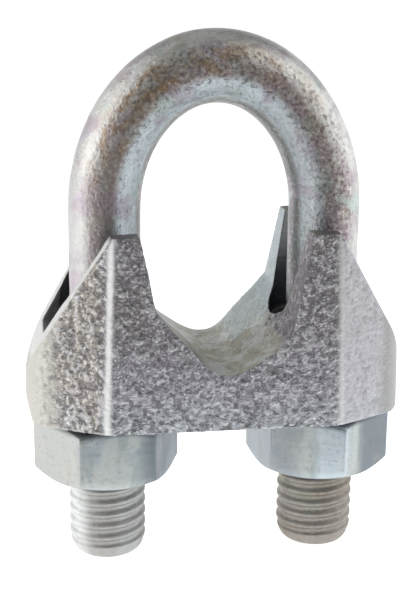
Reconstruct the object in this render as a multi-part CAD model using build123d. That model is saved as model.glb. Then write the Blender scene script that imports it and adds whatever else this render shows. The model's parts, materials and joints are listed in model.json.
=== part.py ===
from build123d import *
import math
import os

# Wire rope clip: a cast saddle, a bent and threaded U-bolt and two hex nuts.
# Millimetres. Origin in the middle of the saddle's flat underside, the U-bolt's
# arch up (+Z), the rope running front to back (Y), the legs at +X and -X.

# U-bolt
LEG_SPACING = 22.1        # between the two leg axes
BAR_R = 3.55              # plain bar: the pitch diameter of a rolled M8 thread
ARCH_START_Z = 20.4       # where the straight legs end
ARCH_RISE = 14.0          # centreline of the crown above that
STUD_END_Z = -15.3        # cut ends of the legs
THREAD_TOP_Z = 8.6        # the thread ends inside the saddle's hole

# M8 thread, right hand
PITCH = 1.25
THREAD_MAJOR_R = 3.95
THREAD_ROOT_R = 3.27
CREST_TURN = 0.125        # share of a turn at the crest
ROOT_TURN = 0.25          # share of a turn at the root
NUT_THREAD_GAP = 0.22     # radial gap between the two threads
TIP_CHAMFER = 1.1         # taken off the radius at the leg's end
TIP_HEIGHT = 1.98         # height of that chamfer's cone
RUN_OUT = 1.0
WAIST_R = 3.22            # neck between the thread and the plain bar
SHOULDER_HEIGHT = 0.4     # cone from the neck up to the plain bar

# hex nuts
NUT_AF = 13.0
NUT_HEIGHT = 6.5
NUT_CHAMFER = 30.0        # degrees, both faces
NUT_FACE_R = 6.15         # radius of the flat bearing face
NUT_MOUTH_R = 4.75        # sunk mouth at each end of the thread
NUT_MOUTH_DEPTH = 0.5
NUT_SEAT_GAP = 0.05       # the nuts are only finger tight
NUT_TURNS = {"left": 5.7, "right": -20.8}   # how each nut happens to be turned

# saddle casting
SADDLE_HEIGHT = 19.2
SADDLE_HALF_LENGTH = 19.25
FOOT_RIDGE = (11.55, 8.2)     # upright ridge at the foot of the front face (x, y)
TOP_RIDGE = (10.95, 7.85)     # the same ridge at the top
FOOT_CORNER = (17.5, 5.1)     # where the slanted cheek meets the rounded end
CORNER_DRAFT = 0.5            # how far that corner and the end lean in by the top
RIDGE_R = 2.0
CORNER_R = 2.6
SLOPE_FOOT = (17.3, 8.9)      # lower end of the sloping top of a horn (x, z)
END_BULGE = (18.75, 5.9)      # rounded shoulder under the slope
END_PASS = (19.45, 3.0)       # the shoulder's arc runs out past the end here
END_FOOT = 18.6               # the end tucks in a little at the underside
TOP_CORNER_X = 10.95
HOLE_R = 4.3
CHANNEL_FLOOR_Z = 8.9
CHANNEL_HALF_WIDTH = 2.4      # slot between a pair of horns at the floor
CHANNEL_TOP_HALF_WIDTH = 5.4  # and at the top of the horns
POCKET_R = 5.2                # round pocket about the leg at the floor
POCKET_TOP_R = 5.9            # and at the top
NOTCH_TOP_Z = 21.0            # the notch's edges run on to here, above the horns
NOTCH_TOP_HALF_WIDTH = 8.6
STRAIGHT_FLANK = [(-6.75, 12.0), (-4.95, 10.0), (-3.15, 8.0), (-1.3, 6.05)]     # (x, z)
HOLLOW_FLANK = [(0, 5.6), (1.3, 5.75), (3.4, 6.85), (5.7, 8.6), (6.7, 10.6)]

# cutting tools
SPARE = 0.3                   # how far a thread runs past the end it is trimmed to
CLEAR = 0.5                   # how far a trimming tool stands outside the crests
SKIM = 0.1                    # how far a cutter stands above the top of the horns
SAME_POINT = 0.01

LEG_X = LEG_SPACING / 2
SIDES = {"left": -1, "right": 1}


def revolved(points):
    """Solid of revolution about Z from (radius, height) points."""
    outline = Plane.XZ * make_face(Polyline(*points, close=True))
    return revolve(outline, Axis.Z)


def helix(radius, z):
    """One turn of a right-hand helix about Z, starting at +X."""
    return Helix(PITCH, PITCH, radius, center=(0, 0, z)).edge()


def helical_end(profile, foot_z):
    """Faces that close the end of a threaded rod: a one-turn ramp and the step it leaves."""
    root_r = profile[0][0]
    axis = Line((0, 0, foot_z), (0, 0, foot_z + PITCH)).edge()
    ramp = Face.make_surface_from_curves(helix(root_r, foot_z), axis)
    start = profile[0][1]
    outline = [(r, 0, foot_z + z - start) for r, z in profile]
    corners = [(0, 0, foot_z)] + outline + [(0, 0, foot_z + PITCH)]
    step = Face(Wire.make_polygon([Vector(*p) for p in corners], close=True))
    return ramp, step


def thread_rod(low_z, high_z, extra_r=0.0):
    """Threaded rod about Z, built a turn at a time; a crest passes +X at every whole pitch."""
    crest_r = THREAD_MAJOR_R + extra_r
    root_r = THREAD_ROOT_R + extra_r
    half_crest = CREST_TURN / 2 * PITCH
    half_root = ROOT_TURN / 2 * PITCH
    half_turn = PITCH / 2
    profile = [
        (root_r, -half_turn - half_root),
        (root_r, -half_turn + half_root),
        (crest_r, -half_crest),
        (crest_r, half_crest),
        (root_r, half_turn - half_root),
    ]
    first = math.floor(low_z / PITCH) - 1
    last = math.ceil(high_z / PITCH) + 1
    faces = []
    for turn in range(first, last):
        curves = [helix(r, z + turn * PITCH) for r, z in profile]
        for lower, upper in zip(curves, curves[1:]):
            faces.append(Face.make_surface_from_curves(lower, upper))
    foot_z = first * PITCH + profile[0][1]
    head_z = last * PITCH + profile[0][1]
    ramp, step = helical_end(profile, foot_z)
    faces += [ramp, step]
    ramp, step = helical_end(profile, head_z)
    faces += [ramp, Pos(0, 0, -PITCH) * step]
    rod = Solid(Shell(faces))
    height = high_z - low_z
    return rod & Pos(0, 0, low_z + height / 2) * Cylinder(2 * crest_r, height)


def threaded_leg():
    """Threaded end of one leg on its own axis, chamfered below and run out above."""
    tip_r = THREAD_MAJOR_R - TIP_CHAMFER
    clear_r = THREAD_MAJOR_R + CLEAR
    cone = Pos(0, 0, STUD_END_Z + TIP_HEIGHT / 2) * Cone(tip_r, clear_r, TIP_HEIGHT)
    low_z = STUD_END_Z + TIP_HEIGHT
    high_z = THREAD_TOP_Z - RUN_OUT
    middle = Pos(0, 0, (low_z + high_z) / 2) * Cylinder(clear_r, high_z - low_z)
    run_out = Pos(0, 0, high_z + RUN_OUT / 2) * Cone(clear_r, WAIST_R, RUN_OUT)
    return thread_rod(STUD_END_Z - SPARE, THREAD_TOP_Z + SPARE) & (cone + middle + run_out)


def bar():
    """Plain round bar of the U, from the run-out of one thread to the other."""
    start_z = THREAD_TOP_Z + SHOULDER_HEIGHT
    arch = EllipticalCenterArc((0, ARCH_START_Z), LEG_X, ARCH_RISE, arc_size=180)
    path = Plane.XZ * Wire([
        Line((LEG_X, start_z), (LEG_X, ARCH_START_Z)).edge(),
        arch.edge(),
        Line((-LEG_X, ARCH_START_Z), (-LEG_X, start_z)).edge(),
    ])
    section = Plane((LEG_X, 0, start_z), z_dir=(0, 0, 1)) * Circle(BAR_R)
    return sweep(section, path)


def shoulder():
    """Short cone between the thread's run-out and the plain bar."""
    middle_z = THREAD_TOP_Z + SHOULDER_HEIGHT / 2
    return Pos(0, 0, middle_z) * Cone(WAIST_R, BAR_R, SHOULDER_HEIGHT)


def u_bolt():
    body = bar()
    leg = threaded_leg()
    for side in SIDES.values():
        body += Pos(side * LEG_X, 0, 0) * shoulder()
        body += Pos(side * LEG_X, 0, 0) * leg
    return body


def corner_chamfer(face_z, outward):
    """Ring that takes the corners off one face of a nut."""
    reach = 3.0
    fall = outward * reach * math.tan(math.radians(NUT_CHAMFER))
    return revolved([
        (NUT_FACE_R, face_z),
        (NUT_FACE_R + reach, face_z - fall),
        (NUT_FACE_R + reach, face_z + outward),
        (NUT_FACE_R, face_z + outward),
    ])


def nut(side_name):
    """Hex nut on its leg, just under the saddle: chamfered faces, sunk mouths, thread."""
    hexagon = RegularPolygon(NUT_AF / math.sqrt(3), 6, rotation=NUT_TURNS[side_name])
    top_z = -NUT_SEAT_GAP
    low_z = top_z - NUT_HEIGHT
    body = Pos(0, 0, low_z) * extrude(hexagon, NUT_HEIGHT)
    body -= corner_chamfer(top_z, 1)
    body -= corner_chamfer(low_z, -1)
    floor_r = NUT_MOUTH_R - NUT_MOUTH_DEPTH
    body -= Pos(0, 0, top_z - NUT_MOUTH_DEPTH / 2) * Cone(floor_r, NUT_MOUTH_R, NUT_MOUTH_DEPTH)
    body -= Pos(0, 0, low_z + NUT_MOUTH_DEPTH / 2) * Cone(NUT_MOUTH_R, floor_r, NUT_MOUTH_DEPTH)
    body -= thread_rod(low_z - 2 * SPARE, top_z + 2 * SPARE, NUT_THREAD_GAP)
    return Pos(SIDES[side_name] * LEG_X, 0, 0) * body


def plan_outline(ridge, corner, half_length):
    """Plan of the saddle: flat front and back, slanted cheeks, rounded ends."""
    right = [(ridge[0], -ridge[1]), (corner[0], -corner[1]), (corner[0], corner[1]), ridge]
    left = [(-x, y) for x, y in reversed(right)]
    edges = []
    for points in (right, left):
        end_x = math.copysign(half_length, points[0][0])
        edges.append(Line(points[0], points[1]))
        edges.append(ThreePointArc(points[1], (end_x, 0), points[2]))
        edges.append(Line(points[2], points[3]))
    edges.append(Line(right[3], left[0]))
    edges.append(Line(left[3], right[0]))
    face = make_face(edges)
    corners = face.vertices()
    ridges = [v for v in corners if abs(abs(v.X) - ridge[0]) < SAME_POINT]
    face = fillet(ridges, RIDGE_R)
    corners = [v for v in face.vertices() if abs(abs(v.X) - corner[0]) < SAME_POINT]
    return fillet(corners, CORNER_R)


def saddle_block():
    """Body of the casting with its draft, before anything is cut away."""
    foot = plan_outline(FOOT_RIDGE, FOOT_CORNER, SADDLE_HALF_LENGTH)
    top_corner = (FOOT_CORNER[0] - CORNER_DRAFT, FOOT_CORNER[1] - CORNER_DRAFT)
    top = plan_outline(TOP_RIDGE, top_corner, SADDLE_HALF_LENGTH - CORNER_DRAFT)
    return loft([foot, Pos(0, 0, SADDLE_HEIGHT) * top], ruled=True)


def side_profile():
    """Front view outline: flat foot, rounded ends, sloping tops of the horns."""
    edges = []
    for side in SIDES.values():
        top = (side * TOP_CORNER_X, SADDLE_HEIGHT)
        slope_foot = (side * SLOPE_FOOT[0], SLOPE_FOOT[1])
        bulge = (side * END_BULGE[0], END_BULGE[1])
        widest = (side * END_PASS[0], END_PASS[1])
        foot = (side * END_FOOT, 0)
        edges.append(Line(top, slope_foot))
        edges.append(ThreePointArc(slope_foot, bulge, widest))
        edges.append(Line(widest, foot))
    edges.append(Line((-TOP_CORNER_X, SADDLE_HEIGHT), (TOP_CORNER_X, SADDLE_HEIGHT)))
    edges.append(Line((-END_FOOT, 0), (END_FOOT, 0)))
    outline = Plane.XZ * make_face(edges)
    return extrude(outline, SADDLE_HEIGHT, both=True)


def notch_outline(turn):
    """Rope notch seen from the front: steep horn edges over a rounded V.

    One flank of the V is straight and the other hollowed by a strand of the rope.
    turn = -1 swaps the flanks, which is how it looks from behind.
    """
    seat = [(turn * x, z) for x, z in STRAIGHT_FLANK + HOLLOW_FLANK]
    if turn < 0:
        seat.reverse()
    top_left = (-NOTCH_TOP_HALF_WIDTH, NOTCH_TOP_Z)
    top_right = (NOTCH_TOP_HALF_WIDTH, NOTCH_TOP_Z)
    return [
        Line(top_left, seat[0]),
        Spline(*seat),
        Line(seat[-1], top_right),
        Line(top_right, top_left),
    ]


def rope_notch():
    """Tool for the notch: the flanks swap from front to back, like a strand's lay."""
    reach = FOOT_RIDGE[1] + 2 * SPARE
    front = Plane((0, -reach, 0), x_dir=(1, 0, 0), z_dir=(0, -1, 0)) * make_face(notch_outline(1))
    back = Plane((0, reach, 0), x_dir=(1, 0, 0), z_dir=(0, -1, 0)) * make_face(notch_outline(-1))
    return loft([front, back], ruled=True)


def leg_channel(side):
    """Tool for the space round a leg: a flared pocket, open to the end between two horns."""
    half = CHANNEL_HALF_WIDTH
    top_half = CHANNEL_TOP_HALF_WIDTH
    top_z = SADDLE_HEIGHT + SKIM
    section = Plane.YZ * Polygon(
        (-half, CHANNEL_FLOOR_Z), (half, CHANNEL_FLOOR_Z),
        (top_half, top_z), (-top_half, top_z), align=None)
    slot = extrude(section, side * SADDLE_HALF_LENGTH)
    depth = top_z - CHANNEL_FLOOR_Z
    pocket = Pos(0, 0, CHANNEL_FLOOR_Z + depth / 2) * Cone(POCKET_R, POCKET_TOP_R, depth)
    return Pos(side * LEG_X, 0, 0) * (slot + pocket)


def saddle():
    body = saddle_block() & side_profile()
    body -= rope_notch()
    drill = Cylinder(HOLE_R, 4 * CHANNEL_FLOOR_Z)
    for side in SIDES.values():
        body -= leg_channel(side)
        body -= Pos(side * LEG_X, 0, 0) * drill
    return body


def main():
    os.makedirs("parts", exist_ok=True)
    pieces = {"saddle": saddle(), "u_bolt": u_bolt()}
    for side_name in SIDES:
        pieces["nut_" + side_name] = nut(side_name)
    for name, piece in pieces.items():
        piece.label = name
        export_step(piece, "parts/" + name + ".step")


main()
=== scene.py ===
import json
import math

import bpy
import numpy as np
from mathutils import Matrix, Vector


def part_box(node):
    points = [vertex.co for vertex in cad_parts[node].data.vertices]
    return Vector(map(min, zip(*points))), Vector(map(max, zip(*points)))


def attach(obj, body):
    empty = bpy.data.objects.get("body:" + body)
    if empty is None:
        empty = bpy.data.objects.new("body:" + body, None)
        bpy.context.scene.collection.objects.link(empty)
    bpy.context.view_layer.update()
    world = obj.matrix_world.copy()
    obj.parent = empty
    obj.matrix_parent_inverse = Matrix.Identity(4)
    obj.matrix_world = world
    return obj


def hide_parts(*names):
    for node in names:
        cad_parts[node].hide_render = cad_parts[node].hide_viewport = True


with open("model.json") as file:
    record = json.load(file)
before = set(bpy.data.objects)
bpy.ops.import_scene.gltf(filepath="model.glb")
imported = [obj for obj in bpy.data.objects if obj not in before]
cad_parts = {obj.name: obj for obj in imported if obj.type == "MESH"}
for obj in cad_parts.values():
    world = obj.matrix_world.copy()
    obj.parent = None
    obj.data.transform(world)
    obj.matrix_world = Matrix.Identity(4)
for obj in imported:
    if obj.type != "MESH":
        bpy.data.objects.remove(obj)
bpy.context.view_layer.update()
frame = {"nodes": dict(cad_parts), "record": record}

MM = 0.001

# Thread: M8, right hand, in step with the CAD thread
PITCH = 1.25 * MM
CREST_R = 3.95 * MM
ROOT_R = 3.27 * MM
PLATING_FILL = 0.42 * MM     # thick zinc in the roots of the thread
PLATED_ROOT_R = ROOT_R + PLATING_FILL
CREST_END = 0.10             # share of the way from crest to root where the crest's flat ends
ROOT_START = 0.85            # and where the root's flat starts
FLANK_SOFTNESS = 0.9         # 0 for straight flanks, 1 for fully rounded ones
THREAD_TOP_Z = 8.6 * MM
THREAD_FADE = 0.9 * MM       # the groove fades out over this height below the thread's top
THREAD_OVERRUN = 0.2 * MM    # and over this height above it

# U-bolt
BAR_R = 3.55 * MM
BAR_SIDES = 80
ARCH_START_Z = 20.4 * MM
ARCH_POINTS = 151
THREAD_STEP = 0.075 * MM     # distance between rings on the thread
FINE_OVERRUN = 1.2 * MM      # how far above the thread the rings stay that close
PLAIN_STEP = 0.4 * MM        # distance between rings on the plain legs
TIP_R = 2.95 * MM            # radius of a stud's end face
TIP_SWELL = 1.05 * MM        # how much the rounded tip widens
TIP_HEIGHT = 2.6 * MM

# Nuts
NUT_AF = 13.0 * MM
NUT_CORNER_R = 0.30 * MM
NUT_FACE_R = 6.15 * MM
NUT_CHAMFER = math.radians(30)
NUT_EDGE = 0.07 * MM         # rounding between chamfer and side
NUT_MOUTH_R = 4.75 * MM
NUT_MOUTH_DEPTH = 0.5 * MM
NUT_THREAD_GAP = 0.22 * MM   # radial play between nut and stud
NUT_THREAD_STEP = 0.10 * MM
NUT_TURNS = {"left": 5.7, "right": -20.8}

# Saddle casting
VOXEL = 0.13 * MM
EASING_ROUNDS = 5

joints = {j["name"]: j for j in frame["record"]["behaviour"]["joints"]}
LEG_X = joints["nut_right_turn"]["pos_m"][0]
u_low, u_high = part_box("u_bolt")
STUD_END_Z = u_low[2]
ARCH_RISE = u_high[2] - BAR_R - ARCH_START_Z


# ---------------------------------------------------------------- noise

class Noise:
    """Seeded smooth 3-D noise for arrays of points, about -1 to 1."""

    def __init__(self, seed):
        self.table = np.random.default_rng(seed).uniform(-1, 1, 4096)

    def lattice(self, ix, iy, iz):
        key = (ix * 73856093) ^ (iy * 19349663) ^ (iz * 83492791)
        return self.table[key & 4095]

    def __call__(self, points, size):
        p = points / size
        base = np.floor(p).astype(np.int64)
        f = p - base
        f = f * f * f * (f * (f * 6 - 15) + 10)
        total = 0.0
        for dx in (0, 1):
            wx = f[:, 0] if dx else 1 - f[:, 0]
            for dy in (0, 1):
                wy = f[:, 1] if dy else 1 - f[:, 1]
                for dz in (0, 1):
                    wz = f[:, 2] if dz else 1 - f[:, 2]
                    value = self.lattice(base[:, 0] + dx, base[:, 1] + dy, base[:, 2] + dz)
                    total = total + value * wx * wy * wz
        return total


def smoothstep(low, high, x):
    """0 at low, 1 at high and smooth between, where low may be the larger one."""
    t = np.clip((x - low) / (high - low), 0, 1)
    return t * t * (3 - 2 * t)


# ---------------------------------------------------------------- mesh helpers

def new_object(name, data):
    """Object in the scene that holds the given mesh, light or camera."""
    obj = bpy.data.objects.new(name, data)
    bpy.context.scene.collection.objects.link(obj)
    return obj


def new_mesh(name, verts, faces):
    mesh = bpy.data.meshes.new(name)
    mesh.from_pydata(verts, [], faces)
    return mesh


def shade_smooth(mesh):
    for polygon in mesh.polygons:
        polygon.use_smooth = True


def read(items, field, width, kind=np.float64):
    """A field of all vertices, edges or triangles, as rows of the given width."""
    values = np.empty(len(items) * width, dtype=kind)
    items.foreach_get(field, values)
    return values.reshape(-1, width)


def grid_mesh(name, rings, closed_along=False):
    """Closed surface through rings of points. Open ends are closed by fans to their middle."""
    count, around = rings.shape[:2]
    verts = rings.reshape(-1, 3).tolist()
    faces = []
    last = count if closed_along else count - 1
    for i in range(last):
        j = (i + 1) % count
        for k in range(around):
            m = (k + 1) % around
            faces.append((i * around + k, i * around + m, j * around + m, j * around + k))
    if not closed_along:
        for ring, flip in ((0, False), (count - 1, True)):
            middle = len(verts)
            verts.append(rings[ring].mean(axis=0).tolist())
            for k in range(around):
                a = ring * around + k
                b = ring * around + (k + 1) % around
                faces.append((b, a, middle) if not flip else (a, b, middle))
    mesh = new_mesh(name, verts, faces)
    mesh.validate()
    mesh.update()
    shade_smooth(mesh)
    return new_object(name, mesh)


def outward(obj):
    """Turns the faces outward if the closed mesh has them inside out."""
    mesh = obj.data
    mesh.calc_loop_triangles()
    v = read(mesh.vertices, "co", 3)
    t = read(mesh.loop_triangles, "vertices", 3, np.int32)
    volume = np.einsum("ij,ij->i", v[t[:, 0]], np.cross(v[t[:, 1]], v[t[:, 2]])).sum() / 6
    if volume < 0:
        mesh.flip_normals()


def add_values(obj, values):
    """Named numbers per vertex for the materials to read; the end caps' middles get zero."""
    for name, value in values.items():
        full = np.zeros(len(obj.data.vertices))
        full[:value.size] = value.ravel()
        layer = obj.data.attributes.new(name, "FLOAT", "POINT")
        layer.data.foreach_set("value", full)


def thread_radius(phi, z):
    """Radius of the plated thread at angle phi (turns) and height z."""
    u = phi - z / PITCH
    u = np.abs(u - np.round(u)) * 2          # 0 at the crest, 1 at the root
    ramp = np.clip((u - CREST_END) / (ROOT_START - CREST_END), 0, 1)
    wave = 0.5 - 0.5 * np.cos(math.pi * ramp)
    height = 1 - ((1 - FLANK_SOFTNESS) * ramp + FLANK_SOFTNESS * wave)
    return PLATED_ROOT_R + (CREST_R - PLATED_ROOT_R) * height


# ---------------------------------------------------------------- U-bolt

def u_path():
    """Points (x, z), tangents and lengths along the U, finely spaced on the threads."""
    leg = np.arange(STUD_END_Z, THREAD_TOP_Z + FINE_OVERRUN, THREAD_STEP)
    plain = np.arange(leg[-1] + PLAIN_STEP, ARCH_START_Z, PLAIN_STEP)
    z = np.concatenate([leg, plain])
    left = np.stack([np.full_like(z, -LEG_X), z], axis=1)
    t = np.linspace(0, math.pi, ARCH_POINTS)
    arch = np.stack([-LEG_X * np.cos(t), ARCH_START_Z + ARCH_RISE * np.sin(t)], axis=1)
    right = left[::-1] * [-1, 1]
    path = np.concatenate([left, arch, right])
    tangent = np.gradient(path, axis=0)
    on_leg = path[:, 1] < ARCH_START_Z
    tangent[on_leg] = np.stack([np.zeros(on_leg.sum()), -np.sign(path[on_leg, 0])], axis=1)
    tangent /= np.linalg.norm(tangent, axis=1)[:, None]
    length = np.concatenate([[0], np.cumsum(np.linalg.norm(np.diff(path, axis=0), axis=1))])
    return path, tangent, length


def bar_radius(x, z, theta):
    """Radius at the place (x, z) on the U and the angle theta: rounded tip, thread, plain bar."""
    phi = np.where(x < 0, math.pi - theta, theta) / (2 * math.pi)
    in_thread = 1 - smoothstep(THREAD_TOP_Z - THREAD_FADE, THREAD_TOP_Z + THREAD_OVERRUN, z)
    radius = BAR_R + (thread_radius(phi, z) - BAR_R) * in_thread
    to_go = np.clip(1 - (z - STUD_END_Z) / TIP_HEIGHT, 0, 1)
    return np.minimum(radius, TIP_R + TIP_SWELL * np.sqrt(1 - to_go ** 2))


def bar_rings(path, tangent, theta):
    """Rings of points round the bar, with its faint waviness, and the rings' centres."""
    level = np.zeros(len(path))
    out = np.stack([-tangent[:, 1], level, tangent[:, 0]], axis=1)[:, None, :]
    centre = np.stack([path[:, 0], level, path[:, 1]], axis=1)[:, None, :]
    ray = np.cos(theta)[None, :, None] * out + np.sin(theta)[None, :, None] * np.array([0, 1, 0])
    radius = bar_radius(path[:, 0:1], path[:, 1:2], theta)
    rings = centre + ray * radius[:, :, None]
    points = rings.reshape(-1, 3)
    long_wave = Noise(3)(points, 5 * MM) * 0.022 * MM
    short_wave = Noise(4)(points, 1.3 * MM) * 0.010 * MM
    wave = (long_wave + short_wave).reshape(radius.shape)[:, :, None]
    return rings + ray * wave, centre


def end_face(ring, centre):
    """Rings that close a stud's end, slightly crowned, from the middle outward."""
    crown = ((0.05, 0.0), (0.45, 0.02), (0.93, 0.10))       # share of the radius, rise in mm
    return np.array([centre + (ring - centre) * share + [0, 0, rise * MM] for share, rise in crown])


def make_u_bolt():
    """The bent bar with its two threads, as one closed skin."""
    path, tangent, length = u_path()
    theta = np.arange(BAR_SIDES) * 2 * math.pi / BAR_SIDES
    rings, centre = bar_rings(path, tangent, theta)
    first = end_face(rings[0], centre[0])
    last = end_face(rings[-1], centre[-1])[::-1]
    rings = np.concatenate([first, rings, last])
    length = np.concatenate([[0] * len(first), length, [length[-1]] * len(last)])
    obj = grid_mesh("u_bolt_bar", rings)
    shape = rings.shape[:2]
    add_values(obj, {
        "along": np.broadcast_to(length[:, None] / MM, shape),
        "outside": np.broadcast_to(np.cos(theta)[None, :], shape),
        "behind": np.broadcast_to(np.sin(theta)[None, :], shape),
    })
    outward(obj)
    return obj


# ---------------------------------------------------------------- nuts

def hex_radius(theta, turn):
    """Radius of the hexagon with rounded corners."""
    corner = math.radians(60)
    gamma = (theta - math.radians(turn) + corner / 2) % corner - corner / 2
    delta = corner / 2 - np.abs(gamma)
    flat = NUT_AF / 2 / np.cos(delta)
    centre = NUT_AF / math.sqrt(3) - NUT_CORNER_R / math.sin(corner)
    inside = np.clip(NUT_CORNER_R ** 2 - (centre * np.sin(gamma)) ** 2, 0, None)
    arc = centre * np.cos(gamma) + np.sqrt(inside)
    near = centre * np.abs(np.sin(gamma)) < NUT_CORNER_R * math.sin(corner / 2)
    return np.where(near, np.minimum(arc, flat), flat)


def hex_angles(turn):
    """Angles round the nut, closer together at its corners."""
    steps = np.concatenate([[0, 0.35, 0.7, 1.05, 1.4, 1.9, 2.6], np.arange(4, 30.1, 2.0)])
    half = np.concatenate([-steps[:0:-1], steps[:-1]])
    return np.concatenate([np.radians(half + 60 * k + turn) for k in range(6)])


def nut_top(side_r, fall, top):
    """Loops (radius, height) of a nut's upper half, from the mouth of its bore out to its side."""
    flat = np.ones_like(side_r)
    face = (
        (NUT_MOUTH_R - NUT_MOUTH_DEPTH, NUT_MOUTH_DEPTH),
        (NUT_MOUTH_R - 0.06 * MM, 0.06 * MM),
        (NUT_MOUTH_R + 0.08 * MM, 0.0),
        (NUT_FACE_R - 0.15 * MM, 0.0),
        (NUT_FACE_R + 0.02 * MM, 0.03 * MM),
    )
    loops = [(flat * r, flat * (top - drop)) for r, drop in face]
    for share in (0.35, 0.7):
        r = NUT_FACE_R + (side_r - NUT_FACE_R) * share
        loops.append((r, top - fall * share - 0.01 * MM))
    for back, rise in ((2.2, 1.2), (0.6, -0.3), (0.0, -2.0)):
        loops.append((side_r - back * NUT_EDGE, top - fall + rise * NUT_EDGE))
    return loops


def nut_thread(theta, bottom, top):
    """Loops of the threaded bore, from below upward."""
    inset = NUT_MOUTH_DEPTH + 0.05 * MM
    flat = np.ones_like(theta)
    return [(NUT_THREAD_GAP + thread_radius(theta / (2 * math.pi), z), flat * z)
            for z in np.arange(bottom + inset, top - inset, NUT_THREAD_STEP)]


def make_nut(side_name):
    """Chamfered hexagon nut with a threaded bore, as one closed skin."""
    side = -1 if side_name == "left" else 1
    low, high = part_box("nut_" + side_name)
    top, bottom = high[2], low[2]
    turn = NUT_TURNS[side_name]
    theta = hex_angles(turn)
    side_r = hex_radius(theta, turn)
    fall = (side_r - NUT_FACE_R) * math.tan(NUT_CHAMFER)
    half = nut_top(side_r, fall, top)
    flank = [(side_r, (top - fall) * (1 - share) + (bottom + fall) * share)
             for share in np.linspace(0.12, 0.88, 9)]
    outside = half + flank + [(r, bottom + top - z) for r, z in reversed(half)]
    loops = outside + nut_thread(theta, bottom, top)
    radius = np.array([r for r, z in loops])
    height = np.array([z for r, z in loops])
    rings = np.stack([
        side * LEG_X + radius * np.cos(theta), radius * np.sin(theta), height], axis=2)
    outer = len(outside)
    points = rings[:outer].reshape(-1, 3)
    long_wave = Noise(20 + side)(points, 2.5 * MM) * 0.020 * MM
    short_wave = Noise(24 + side)(points, 0.8 * MM) * 0.006 * MM
    wave = (long_wave + short_wave).reshape(outer, -1)
    rings[:outer, :, 0] += wave * np.cos(theta)
    rings[:outer, :, 1] += wave * np.sin(theta)
    obj = grid_mesh("nut_" + side_name + "_body", rings, closed_along=True)
    outward(obj)
    # which way each side faces, for the painted light and shade on the facets
    add_values(obj, {"rightward": np.broadcast_to(np.cos(theta)[None, :], rings.shape[:2])})
    return obj


# ---------------------------------------------------------------- saddle

def remeshed(node):
    """Copy of a CAD node as one even, closed skin with slightly eased edges."""
    source = frame["nodes"][node]
    obj = source.copy()
    obj.data = source.data.copy()
    obj.name = node + "_casting"
    obj.data.name = obj.name
    obj.parent = None
    obj.matrix_world = Matrix.Identity(4)
    obj.modifiers.clear()
    bpy.context.scene.collection.objects.link(obj)
    weld = obj.modifiers.new("weld", "WELD")
    weld.merge_threshold = 1e-6
    skin = obj.modifiers.new("skin", "REMESH")
    skin.mode = "VOXEL"
    skin.voxel_size = VOXEL
    ease = obj.modifiers.new("ease", "SMOOTH")
    ease.factor = 0.5
    ease.iterations = EASING_ROUNDS
    graph = bpy.context.evaluated_depsgraph_get()
    mesh = bpy.data.meshes.new_from_object(obj.evaluated_get(graph))
    obj.modifiers.clear()
    obj.data = mesh
    return obj


def spread(edges, value, rounds):
    """Averages a value over neighbouring vertices a few times."""
    count = len(value)
    degree = np.bincount(edges.ravel(), minlength=count)
    degree = np.maximum(degree, 1).astype(float)
    for _ in range(rounds):
        total = np.bincount(edges[:, 0], value[edges[:, 1]], count)
        total += np.bincount(edges[:, 1], value[edges[:, 0]], count)
        value = 0.4 * value + 0.6 * total / degree
    return value


def sharpness(co, normal, edges):
    """How strongly the skin bends outward (+) or inward (-) at each vertex, in 1/mm or so."""
    around = np.stack([spread(edges, co[:, k], 1) for k in range(3)], axis=1)
    bend = -((around - co) * normal).sum(axis=1) / MM
    return spread(edges, bend, 3)


def ridge_highlight_mask(across, normal, outside, edges):
    """The line between the flat front or back and each slanted cheek, where a highlight is painted."""
    lean = np.degrees(np.arctan2(np.abs(normal[:, 0]), np.abs(normal[:, 1]) + 1e-9))
    ridge_highlight = smoothstep(3, 9, lean) * smoothstep(26, 20, lean)
    ridge_highlight = ridge_highlight * outside * smoothstep(9.5, 10.3, across) * smoothstep(13.5, 12.6, across)
    return spread(edges, ridge_highlight, 4)


def pocket_shade_mask(across, y, z, out_x, out_y, normal):
    """Where painted shade goes round each leg: its hole, the horns' faces towards it and the floor
    beside it.
    """
    beyond_leg = across - LEG_X / MM
    from_leg = np.hypot(beyond_leg, y)
    facing_leg = -(beyond_leg * out_x + y * normal[:, 1])
    hole = smoothstep(0.4, 0.8, facing_leg / (from_leg + 0.01)) * smoothstep(7.5, 6.5, from_leg)
    wall = smoothstep(-0.2, -0.6, out_y) * smoothstep(10.0, 11.0, across)
    floor = smoothstep(0.8, 0.95, normal[:, 2]) * smoothstep(9.6, 9.2, z) * smoothstep(5.6, 6.2, across)
    return np.maximum(np.maximum(hole, wall), floor * smoothstep(1.0, 2.0, z))


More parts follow.
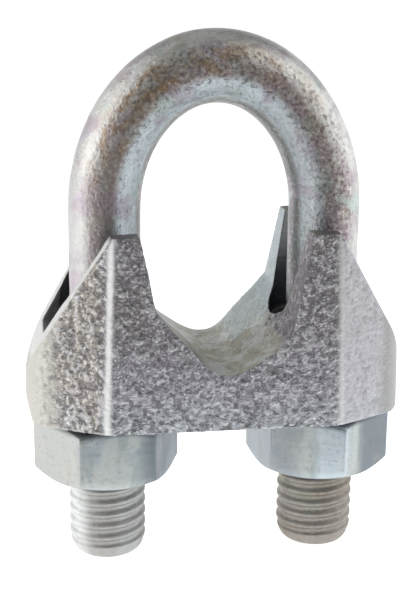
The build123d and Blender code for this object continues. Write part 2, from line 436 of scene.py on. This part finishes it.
def skin_masks(co, normal, edges):
    """Kinds of surface on the casting, and where highlights and shade are painted, 0 to 1 at each
    vertex.

    Places in this function and in the two above it are in millimetres.
    """
    x, y, z = co.T / MM
    across = np.abs(x)
    out_x = normal[:, 0] * np.sign(x)        # + where the skin faces away from the middle
    out_y = normal[:, 1] * np.sign(y)        # + on the front and back faces
    up = normal[:, 2]
    outside = smoothstep(0.1, 0.5, out_y)
    front = smoothstep(0.0, -1.0, y)
    back = smoothstep(0.0, 1.0, y)

    ridge_highlight = ridge_highlight_mask(across, normal, outside, edges)
    pocket_shade = pocket_shade_mask(across, y, z, out_x, out_y, normal)

    # the horns' sides towards the rope, their slanted outer sides, which get a painted highlight, and
    # their tops, which get painted shade
    toward = smoothstep(-0.5, -0.8, out_x) * smoothstep(11.0, 10.0, across)
    slope_highlight = smoothstep(0.55, 0.75, out_x) * smoothstep(0.30, 0.42, up) * smoothstep(10.9, 11.4, across)
    top = smoothstep(0.75, 0.9, up) * smoothstep(17.5, 18.5, z)

    # grain: full on the front and back, calmer on the ends, the foot and the right cheek
    face = smoothstep(0.35, 0.75, np.abs(normal[:, 1]))
    end = smoothstep(15.3, 17.0, across)
    foot = smoothstep(-0.6, -0.95, up)
    grainy = (0.18 + 0.82 * face * outside) * (1 - 0.75 * end) * (1 - 0.6 * foot)
    grainy = grainy * (1 - 0.78 * smoothstep(10.9, 11.7, x))
    grainy = np.maximum(grainy, 0.60 * toward * front * smoothstep(7.5, 9.5, z))
    grainy = grainy * (1 - 0.75 * ridge_highlight)

    bend = sharpness(co, normal, edges)
    return {
        "grainy": grainy,
        "ridge_highlight": ridge_highlight,
        # painted shade in the pockets round the legs
        "pocket_shade": pocket_shade,
        # painted highlight on convex edges
        "edge_highlight": smoothstep(0.012, 0.045, bend),
        # painted shade in concave creases
        "crease_shade": smoothstep(-0.006, -0.03, bend),
        # painted shade on the horns' front faces towards the legs
        "front_cheek_shade": toward * front * (1 - pocket_shade),
        "lit": toward * back * (1 - pocket_shade),
        # painted highlight on the slanted outer sides
        "slope_highlight": slope_highlight,
        # painted shade on the tops
        "top": top,
        "seat": smoothstep(0.55, 0.75, up) * smoothstep(9.5, 8.0, across),
    }


def cast_texture(obj):
    """Sand-cast skin: pushes the grain into the mesh and stores the masks for the material."""
    mesh = obj.data
    co = read(mesh.vertices, "co", 3)
    normal = read(mesh.vertices, "normal", 3)
    edges = read(mesh.edges, "vertices", 2, np.int32)
    masks = skin_masks(co, normal, edges)
    warp = np.stack([Noise(50 + k)(co, 1.1 * MM) for k in range(3)], axis=1) * 0.20 * MM
    grain = Noise(60)(co + warp, 0.42 * MM)
    fine = Noise(61)(co + warp, 0.26 * MM)
    coarse = Noise(62)(co, 2.2 * MM)
    pits = -np.clip(-grain - 0.08, 0, 1) * 1.2 + np.clip(grain - 0.1, 0, 1) * 0.8
    height = (pits * 0.125 + fine * 0.036 + coarse * 0.040) * MM
    sunk = 0.015 * MM                        # sets the skin back, so the grain stays near the CAD's
    move = (height * masks["grainy"] - sunk)[:, None] * normal
    mesh.vertices.foreach_set("co", (co + move).ravel())
    masks["pit"] = np.clip(0.5 + (pits * 0.8 + fine * 0.45) * masks["grainy"], 0, 1)
    add_values(obj, masks)
    mesh.update()
    shade_smooth(mesh)


# ---------------------------------------------------------------- materials

class Nodes:
    """Short way to wire a node tree."""

    def __init__(self, tree):
        self.tree = tree

    def add(self, kind, inputs=None, **settings):
        node = self.tree.nodes.new(kind)
        for key, value in settings.items():
            setattr(node, key, value)
        for key, value in (inputs or {}).items():
            self.feed(node.inputs[key], value)
        return node

    def feed(self, socket, value):
        if isinstance(value, bpy.types.NodeSocket):
            self.tree.links.new(value, socket)
        else:
            socket.default_value = value

    def axis(self, vector, which):
        return self.add("ShaderNodeSeparateXYZ", {"Vector": vector}).outputs[which]

    def ramp(self, value, low, high, to_low=0.0, to_high=1.0):
        """Smooth step from low to high, where low may be the larger one."""
        node = self.add("ShaderNodeMapRange", {
            "Value": value, "From Min": low, "From Max": high,
            "To Min": to_low, "To Max": to_high}, interpolation_type="SMOOTHSTEP")
        return node.outputs["Result"]

    def math(self, operation, a, b=0.0):
        return self.add("ShaderNodeMath", {0: a, 1: b}, operation=operation).outputs[0]

    def times(self, *values):
        product = values[0]
        for value in values[1:]:
            product = self.math("MULTIPLY", product, value)
        return product


class Surface(Nodes):
    """Material of a principled shader with its node tree."""

    def __init__(self, name):
        self.material = bpy.data.materials.new(name)
        self.material.use_nodes = True
        super().__init__(self.material.node_tree)
        self.bsdf = self.tree.nodes["Principled BSDF"]
        self.where = self.add("ShaderNodeTexCoord").outputs["Object"]

    def noise(self, vector, scale, detail=3.0, rough=0.55, distort=0.0):
        node = self.add("ShaderNodeTexNoise", {
            "Vector": vector, "Scale": scale, "Detail": detail,
            "Roughness": rough, "Distortion": distort})
        return node.outputs["Fac"]

    def stretch(self, vector, scale):
        return self.add("ShaderNodeMapping", {"Vector": vector, "Scale": scale}).outputs["Vector"]

    def mix(self, factor, a, b):
        """Colour a where factor is 0 and b where it is 1."""
        node = self.add("ShaderNodeMix", data_type="RGBA", blend_type="MIX")
        self.feed(node.inputs[0], factor)
        self.feed(node.inputs[6], a if isinstance(a, bpy.types.NodeSocket) else (*a, 1))
        self.feed(node.inputs[7], b if isinstance(b, bpy.types.NodeSocket) else (*b, 1))
        return node.outputs[2]

    def attribute(self, name):
        return self.add("ShaderNodeAttribute", attribute_name=name).outputs["Fac"]

    def set(self, name, value):
        self.feed(self.bsdf.inputs[name], value)

    def bump(self, height, strength, distance):
        node = self.add("ShaderNodeBump", {
            "Height": height, "Strength": strength, "Distance": distance})
        self.set("Normal", node.outputs["Normal"])


def along_bar(n, round_scale, length_scale):
    """Noise space wrapped round the bar and stretched along it."""
    return n.add("ShaderNodeCombineXYZ", {
        "X": n.times(n.attribute("outside"), round_scale),
        "Y": n.times(n.attribute("behind"), round_scale),
        "Z": n.times(n.attribute("along"), length_scale)}).outputs[0]


def bar_bands(n, colour, blot):
    """Bands that follow the bar: brown stain darkened as a painted dark reflection on the front,
    painted sheen on the inner side, painted shade on the inner rim, painted highlights on the outer
    side and the arch.
    """
    outside = n.attribute("outside")
    behind = n.attribute("behind")
    across = n.axis(n.where, "X")
    # brown stain on the front, darkened as a painted dark reflection
    front = n.times(n.ramp(behind, -0.50, -0.80), n.ramp(outside, 0.70, 0.35))
    brown_stain_and_shade = n.mix(n.ramp(blot, 0.42, 0.60), (0.42, 0.36, 0.33), (0.30, 0.23, 0.25))
    colour = n.mix(n.times(front, 0.72), colour, brown_stain_and_shade)
    # painted bluish sheen on the inner side, weaker on the right leg
    inner_sheen = n.times(n.ramp(outside, -0.08, -0.34), n.ramp(outside, -0.88, -0.74))
    inner_sheen = n.times(inner_sheen, n.ramp(across, 0.002, 0.010, 1.0, 0.6))
    colour = n.mix(n.times(inner_sheen, 0.9), colour, (0.76, 0.87, 0.92))
    # painted shade along the innermost side
    inner_rim_shade = n.ramp(outside, -0.76, -0.90, 0.0, 0.8)
    colour = n.mix(inner_rim_shade, colour, (0.12, 0.13, 0.13))
    # painted highlight on the outer side
    outer_highlight = n.ramp(outside, 0.40, 0.80)
    colour = n.mix(n.times(outer_highlight, 0.5), colour, (0.66, 0.65, 0.63))
    # painted near-white highlight on the arch's upper outer side, stronger on the right
    arch_highlight = n.times(n.ramp(n.axis(n.where, "Z"), 0.022, 0.030), n.ramp(outside, 0.05, 0.35))
    arch_highlight = n.times(arch_highlight, n.ramp(across, -0.006, 0.006, 0.45, 0.9))
    return n.mix(arch_highlight, colour, (0.93, 0.93, 0.90))


def bar_stains(n, colour, blot, speck):
    """Violet, green and golden stains of the zinc, and fine dark and light specks."""
    outside = n.attribute("outside")
    across = n.axis(n.where, "X")
    violet = n.ramp(n.noise(n.where, 300.0, 3.0), 0.48, 0.62, 0.0, 0.6)
    colour = n.mix(violet, colour, (0.44, 0.35, 0.43))
    mirrored = n.stretch(n.where, (1.0, 1.0, -1.0))
    green = n.ramp(n.noise(mirrored, 340.0, 3.0), 0.53, 0.67, 0.0, 0.58)
    colour = n.mix(green, colour, (0.46, 0.58, 0.53))
    crown = n.ramp(n.axis(n.where, "Z"), 0.018, 0.032)
    left = n.ramp(across, 0.012, -0.004, 0.35, 1.0)
    golden = n.times(n.ramp(blot, 0.38, 0.64), n.times(crown, left))
    middle = n.times(n.ramp(outside, 0.80, 0.45, 0.25, 1.0), n.ramp(outside, -0.35, -0.05))
    colour = n.mix(n.times(golden, middle), colour, (0.46, 0.33, 0.20))
    plain = n.ramp(across, -0.012, -0.007, 0.4, 1.0)
    plain = n.times(plain, n.ramp(outside, 0.75, 0.45, 0.30, 1.0))
    plain = n.times(plain, n.ramp(outside, -0.50, -0.30, 0.45, 1.0))
    dark = n.times(n.ramp(speck, 0.49, 0.63, 0.0, 0.80), plain)
    colour = n.mix(dark, colour, (0.18, 0.15, 0.15))
    light = n.times(n.ramp(speck, 0.47, 0.34, 0.0, 0.7), plain)
    return n.mix(light, colour, (0.84, 0.84, 0.82))


def bar_studs(n, colour, stud, cloud):
    """Duller threads, browner on the right leg, with a painted highlight on the left stud's outer side
    and painted shade just under the nuts.
    """
    across = n.axis(n.where, "X")
    height = n.axis(n.where, "Z")
    right = n.ramp(across, -0.002, 0.002)
    dull = n.mix(right, (0.44, 0.44, 0.42), (0.31, 0.28, 0.23))
    lit = n.times(n.ramp(n.attribute("outside"), 0.45, 0.85), n.ramp(across, 0.0, -0.002))
    dull = n.mix(lit, dull, (0.80, 0.81, 0.80))
    dull = n.mix(n.ramp(cloud, 0.4, 0.65, 0.0, 0.4), dull, (0.42, 0.41, 0.40))
    colour = n.mix(n.times(stud, 0.85), colour, dull)
    # painted shade just under the nuts
    under_nut_shade = n.times(n.ramp(height, -0.0080, -0.0072), n.ramp(height, -0.0055, -0.0062))
    return n.mix(n.times(under_nut_shade, 0.6), colour, (0.16, 0.17, 0.19))


def bar_material():
    """Zinc plated bar: grey steel with brown, violet and golden stains and drawn streaks, and painted
    highlights, sheen and shade.
    """
    n = Surface("plated_bar")
    streak = n.noise(along_bar(n, 5.0, 0.16), 1.0, 4.0, 0.6)
    blot = n.noise(along_bar(n, 3.5, 0.55), 0.85, 4.0, 0.7, 0.5)
    cloud = n.noise(n.where, 190.0, 4.0, 0.6, 0.6)
    speck = n.noise(n.where, 2500.0, 4.0, 0.7)
    stud = n.ramp(n.axis(n.where, "Z"), 0.0088, 0.0080)
    colour = n.mix(n.ramp(cloud, 0.35, 0.65), (0.44, 0.44, 0.44), (0.58, 0.57, 0.54))
    colour = bar_bands(n, colour, blot)
    colour = bar_stains(n, colour, blot, speck)
    colour = bar_studs(n, colour, stud, cloud)
    n.set("Base Color", colour)
    n.set("Metallic", 1.0)
    n.set("Roughness", n.math("ADD", n.ramp(streak, 0.25, 0.75, 0.24, 0.38), n.times(stud, 0.16)))
    n.bump(n.math("ADD", n.times(streak, 0.3), speck), 0.6, 0.00018)
    return n.material


def nut_material():
    """Bright zinc with a bluish cast, lightly clouded and scratched, with painted light and shade on
    its facets and painted shade on its top under the saddle.
    """
    n = Surface("plated_nut")
    across = n.axis(n.where, "X")
    rightward = n.attribute("rightward")
    on_right_nut = n.ramp(across, 0.0, 0.002)
    cloud = n.noise(n.where, 260.0, 4.0, 0.6, 0.4)
    scratch = n.noise(n.stretch(n.where, (0.35, 0.35, 2.4)), 900.0, 3.0, 0.6)
    speck = n.noise(n.where, 2200.0, 3.0, 0.6)
    stripe = n.noise(n.stretch(n.where, (1.0, 1.0, 0.25)), 520.0, 3.0, 0.6)
    colour = n.mix(n.ramp(cloud, 0.40, 0.60), (0.38, 0.44, 0.48), (0.54, 0.57, 0.56))
    colour = n.mix(n.ramp(stripe, 0.48, 0.62, 0.0, 0.6), colour, (0.36, 0.41, 0.42))
    # painted light on the left nut's far left side
    far_left_light = n.ramp(across, -0.0132, -0.0150)
    colour = n.mix(n.times(far_left_light, 0.7), colour, (0.53, 0.52, 0.48))
    # painted shade on facets that face right, and on the right nut's facets that face left
    colour = n.mix(n.ramp(rightward, 0.35, 0.60, 0.0, 0.85), colour, (0.19, 0.22, 0.25))
    shade = n.times(n.ramp(rightward, -0.35, -0.60, 0.0, 0.5), on_right_nut)
    colour = n.mix(shade, colour, (0.32, 0.33, 0.36))
    # painted light on the right nut's front facets
    front_facet_light = n.times(n.ramp(rightward, 0.30, 0.15), n.ramp(rightward, -0.30, -0.15))
    colour = n.mix(n.times(front_facet_light, on_right_nut, 0.6), colour, (0.66, 0.75, 0.80))
    # painted shade on the nuts' tops, under the saddle
    under_saddle_shade = n.ramp(n.axis(n.where, "Z"), -0.0010, -0.0004)
    colour = n.mix(n.times(under_saddle_shade, 0.8), colour, (0.08, 0.09, 0.10))
    warm = n.ramp(n.noise(n.where, 420.0, 4.0, 0.65, 0.8), 0.58, 0.72, 0.0, 0.35)
    colour = n.mix(warm, colour, (0.42, 0.39, 0.34))
    colour = n.mix(n.ramp(speck, 0.55, 0.68, 0.0, 0.4), colour, (0.26, 0.28, 0.30))
    n.set("Base Color", colour)
    n.set("Metallic", 1.0)
    n.set("Roughness", n.ramp(cloud, 0.3, 0.7, 0.36, 0.50))
    n.bump(scratch, 0.22, 0.00008)
    return n.material


def casting_ground(n):
    """The casting's colour by place: violet grey front, darker horns, pale cheeks, olive seat."""
    x = n.axis(n.where, "X")
    z = n.axis(n.where, "Z")
    cloud = n.noise(n.where, 210.0, 4.0, 0.6, 0.5)
    tower = n.ramp(z, 0.0015, 0.0130)
    tint = n.mix(tower, (0.52, 0.52, 0.58), (0.29, 0.27, 0.26))
    colour = n.mix(n.ramp(cloud, 0.35, 0.65, 0.0, 0.5), tint, (0.36, 0.33, 0.39))
    low = n.ramp(z, 0.0040, 0.0008, 0.0, 0.8)
    colour = n.mix(low, colour, (0.50, 0.54, 0.57))
    left_cheek = n.ramp(x, -0.0112, -0.0128, 0.0, 0.85)
    warm = n.mix(n.ramp(cloud, 0.42, 0.58), (0.50, 0.44, 0.37), (0.50, 0.50, 0.48))
    colour = n.mix(left_cheek, colour, warm)
    right_cheek = n.ramp(x, 0.0109, 0.0117, 0.0, 0.85)
    colour = n.mix(right_cheek, colour, (0.64, 0.64, 0.67))
    ends = n.ramp(n.math("ABSOLUTE", x), 0.0155, 0.0170)
    end_colour = n.mix(n.ramp(x, -0.001, 0.001), (0.63, 0.61, 0.56), (0.48, 0.48, 0.48))
    colour = n.mix(ends, colour, end_colour)
    patchy = n.ramp(n.noise(n.where, 380.0, 4.0, 0.65, 0.5), 0.40, 0.60)
    olive = n.mix(patchy, (0.80, 0.81, 0.76), (0.60, 0.57, 0.46))
    return n.mix(n.attribute("seat"), colour, olive)


def casting_grain(n, colour, pit, grit, dot):
    """Dark pits and specks and bright grains on the rough parts."""
    grainy = n.attribute("grainy")
    speck = n.times(n.ramp(grit, 0.49, 0.60), grainy)
    colour = n.mix(n.times(speck, 0.75), colour, (0.14, 0.13, 0.14))
    glint = n.times(n.ramp(dot, 0.50, 0.62), grainy)
    colour = n.mix(n.times(glint, 0.75), colour, (0.80, 0.80, 0.83))
    colour = n.mix(n.ramp(pit, 0.48, 0.15, 0.0, 0.50), colour, (0.13, 0.12, 0.13))
    return n.mix(n.ramp(pit, 0.60, 0.95, 0.0, 0.42), colour, (0.76, 0.75, 0.77))


def casting_wear(n, colour, ridge_highlight):
    """Painted highlights on the ridges, convex edges, slanted sides and the horns' back faces towards
    the legs; painted shade in concave creases, on their front faces, on the tops and in the pockets
    round the legs.
    """
    # painted shade for the pockets round the legs, darkest lowest down
    depth = n.ramp(n.axis(n.where, "Z"), 0.0125, 0.0175)
    pocket_shade_colour = n.mix(depth, (0.08, 0.09, 0.10), (0.36, 0.38, 0.38))
    # painted highlight along the ridges
    colour = n.mix(ridge_highlight, colour, (0.95, 0.95, 0.94))
    # painted highlight on convex edges, painted shade in concave creases, painted shade on the horns'
    # front faces towards the legs and painted light on their back faces, painted highlight on the
    # slanted outer sides, painted shade on the tops, and painted shade in the pockets round the legs
    for mask, strength, tone in (
            ("edge_highlight", 0.7, (0.88, 0.88, 0.86)),
            ("crease_shade", 0.5, (0.15, 0.14, 0.14)),
            ("front_cheek_shade", 0.35, (0.24, 0.20, 0.24)),
            ("lit", 0.8, (0.62, 0.68, 0.70)),
            ("slope_highlight", 0.85, (0.88, 0.88, 0.86)),
            ("top", 0.6, (0.16, 0.15, 0.15)),
            ("pocket_shade", 0.85, pocket_shade_colour)):
        colour = n.mix(n.times(n.attribute(mask), strength), colour, tone)
    return colour


def casting_material():
    """Zinc over a sand-cast skin: violet grey, dark in the pits, with painted highlights on ridges,
    edges and slopes and painted shade in creases and recesses.
    """
    n = Surface("plated_casting")
    pit = n.attribute("pit")
    grit = n.noise(n.stretch(n.where, (0.8, 1.0, 1.25)), 1900.0, 3.0, 0.65, 1.0)
    dot = n.noise(n.stretch(n.where, (1.0, 1.0, 1.3)), 3600.0, 2.0, 0.6)
    # the painted ridge highlight is stronger on the left
    more_on_left = n.ramp(n.axis(n.where, "X"), -0.002, 0.002, 1.0, 0.45)
    ridge_highlight = n.times(n.attribute("ridge_highlight"), more_on_left)
    colour = casting_ground(n)
    colour = casting_grain(n, colour, pit, grit, dot)
    colour = casting_wear(n, colour, ridge_highlight)
    n.set("Base Color", colour)
    # less metallic where highlights are painted, so that they stay bright as diffuse colour
    painted_highlight = n.math("MAXIMUM", ridge_highlight, n.attribute("slope_highlight"))
    n.set("Metallic", n.times(n.ramp(pit, 0.25, 0.5, 0.55, 0.95), n.ramp(painted_highlight, 0.0, 1.0, 1.0, 0.12)))
    n.set("Roughness", n.math("ADD", n.ramp(pit, 0.8, 0.3, 0.36, 0.60), n.times(grit, 0.1)))
    n.bump(n.math("ADD", n.times(grit, 0.8), n.times(dot, 0.4)), 0.8, 0.00022)
    return n.material


def floor_material():
    """Near-white paper that glows a little, so that it stays even."""
    n = Surface("paper")
    colour = n.mix(n.noise(n.where, 6.0, 2.0), (0.90, 0.90, 0.90), (0.94, 0.94, 0.94))
    n.set("Base Color", colour)
    n.set("Roughness", 0.95)
    n.set("Emission Color", colour)
    n.set("Emission Strength", 0.92)
    return n.material


def card_material(name, level):
    """Dark grey card of a given surface brightness."""
    n = Surface(name)
    tone = n.noise(n.where, 8.0, 1.0)
    colour = n.mix(tone, (level, level, level * 1.03), (level * 1.1, level * 1.1, level * 1.12))
    n.set("Base Color", (0.05, 0.05, 0.05, 1))
    n.set("Emission Color", colour)
    n.set("Emission Strength", 1.0)
    return n.material


def dress(obj, material, body, node):
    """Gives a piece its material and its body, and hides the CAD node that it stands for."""
    obj.data.materials.clear()
    obj.data.materials.append(material)
    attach(obj, body)
    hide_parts(node)


# ---------------------------------------------------------------- studio

def softbox(name, place, width, height, radiance, colour=(1, 1, 1)):
    """Rectangular soft light of a given surface brightness, aimed at the clip."""
    aim = Vector((0, 0, 12 * MM))
    light = bpy.data.lights.new(name, "AREA")
    light.shape = "RECTANGLE"
    light.size = width
    light.size_y = height
    light.energy = radiance * math.pi * width * height
    light.color = colour
    obj = new_object(name, light)
    obj.location = place
    obj.rotation_euler = (aim - Vector(place)).to_track_quat("-Z", "Y").to_euler()


def make_floor():
    """Pale paper under the clip, wide enough to fill every view."""
    radii = [0.05, 0.1, 0.2, 0.4, 0.8, 1.6, 3.0, 6.0, 12.0]
    around = 48
    verts = [(0, 0, STUD_END_Z)]
    for r in radii:
        for k in range(around):
            t = 2 * math.pi * k / around
            verts.append((r * math.cos(t), r * math.sin(t), STUD_END_Z))
    faces = [(0, 1 + k, 1 + (k + 1) % around) for k in range(around)]
    for i in range(len(radii) - 1):
        for k in range(around):
            m = (k + 1) % around
            a, b = 1 + i * around, 1 + (i + 1) * around
            faces.append((a + k, b + k, b + m, a + m))
    mesh = new_mesh("floor", verts, faces)
    mesh.materials.append(floor_material())
    new_object("floor", mesh)


def make_front_card():
    """Grey card out of the camera's sight that gives the metal something dark to reflect."""
    near_y, near_half, near_z = -0.034, 0.07, -0.0151
    far_y, far_half, far_z = -0.34, 0.16, 0.03
    corners = [(-near_half, near_y, near_z), (near_half, near_y, near_z),
               (far_half, far_y, far_z), (-far_half, far_y, far_z)]
    mesh = new_mesh("front_card", corners, [(0, 1, 2, 3)])
    mesh.materials.append(card_material("front_card", 0.34))
    obj = new_object("front_card", mesh)
    obj.visible_camera = False
    obj.visible_shadow = False
    obj.visible_diffuse = False


def make_world():
    """Studio room: dim overhead and in front, a pale band round the horizon at the back and sides.

    The room itself is seen as plain white past the far edge of the floor.
    """
    world = bpy.data.worlds.new("studio")
    bpy.context.scene.world = world
    world.use_nodes = True
    n = Nodes(world.node_tree)
    direction = n.add("ShaderNodeTexCoord").outputs["Generated"]
    behind = n.ramp(n.axis(direction, "Y"), -0.55, 0.15)
    band = n.times(behind, n.ramp(n.axis(direction, "Z"), 0.65, 0.15))
    level = n.ramp(band, 0.0, 1.0, 0.20, 0.95)
    seen = n.add("ShaderNodeLightPath").outputs["Is Camera Ray"]
    background = world.node_tree.nodes["Background"]
    n.feed(background.inputs["Color"], (0.96, 0.98, 1.0, 1))
    n.feed(background.inputs["Strength"], n.math("MAXIMUM", level, seen))


def make_camera():
    """Low three-quarter view from the front left."""
    azimuth, elevation, roll = math.radians(-8.8), math.radians(14.6), math.radians(0.6)
    distance, shift_x, shift_z = 121.25 * MM, 0.78 * MM, -11.15 * MM
    forward = Vector((-math.sin(azimuth) * math.cos(elevation),
                      math.cos(azimuth) * math.cos(elevation), -math.sin(elevation)))
    right = Vector((math.cos(azimuth), math.sin(azimuth), 0))
    up = right.cross(forward)
    right, up = (right * math.cos(roll) + up * math.sin(roll),
                 up * math.cos(roll) - right * math.sin(roll))
    place = -forward * distance - right * shift_x - up * shift_z
    data = bpy.data.cameras.new("camera")
    data.sensor_fit = "HORIZONTAL"
    data.sensor_width = 36.0
    data.lens = 102.307                      # mm on that sensor
    data.clip_start = 0.001
    data.clip_end = 20.0
    camera = new_object("camera", data)
    camera.matrix_world = Matrix((
        (right.x, up.x, -forward.x, place.x),
        (right.y, up.y, -forward.y, place.y),
        (right.z, up.z, -forward.z, place.z),
        (0, 0, 0, 1)))
    bpy.context.scene.camera = camera


# ---------------------------------------------------------------- assembly

casting = remeshed("saddle")
cast_texture(casting)
dress(casting, casting_material(), "saddle", "saddle")

bar = make_u_bolt()
dress(bar, bar_material(), "u_bolt", "u_bolt")

plated_nut = nut_material()
for side_name in ("left", "right"):
    nut = make_nut(side_name)
    dress(nut, plated_nut, "nut_" + side_name, "nut_" + side_name)

make_floor()
make_front_card()
make_world()
make_camera()
softbox("left_box", (-0.32, -0.06, 0.10), 0.20, 0.40, 1.6)
softbox("right_box", (0.32, 0.0, 0.12), 0.14, 0.40, 0.9)
softbox("high_right_box", (0.22, -0.16, 0.28), 0.16, 0.14, 2.2)
softbox("top_box", (-0.05, 0.10, 0.38), 0.22, 0.18, 0.5)
softbox("back_left_box", (-0.28, 0.20, 0.28), 0.14, 0.12, 2.0, (0.94, 0.99, 1.0))

view = bpy.context.scene.view_settings
view.view_transform = "Standard"
view.look = "None"
view.exposure = 0.0
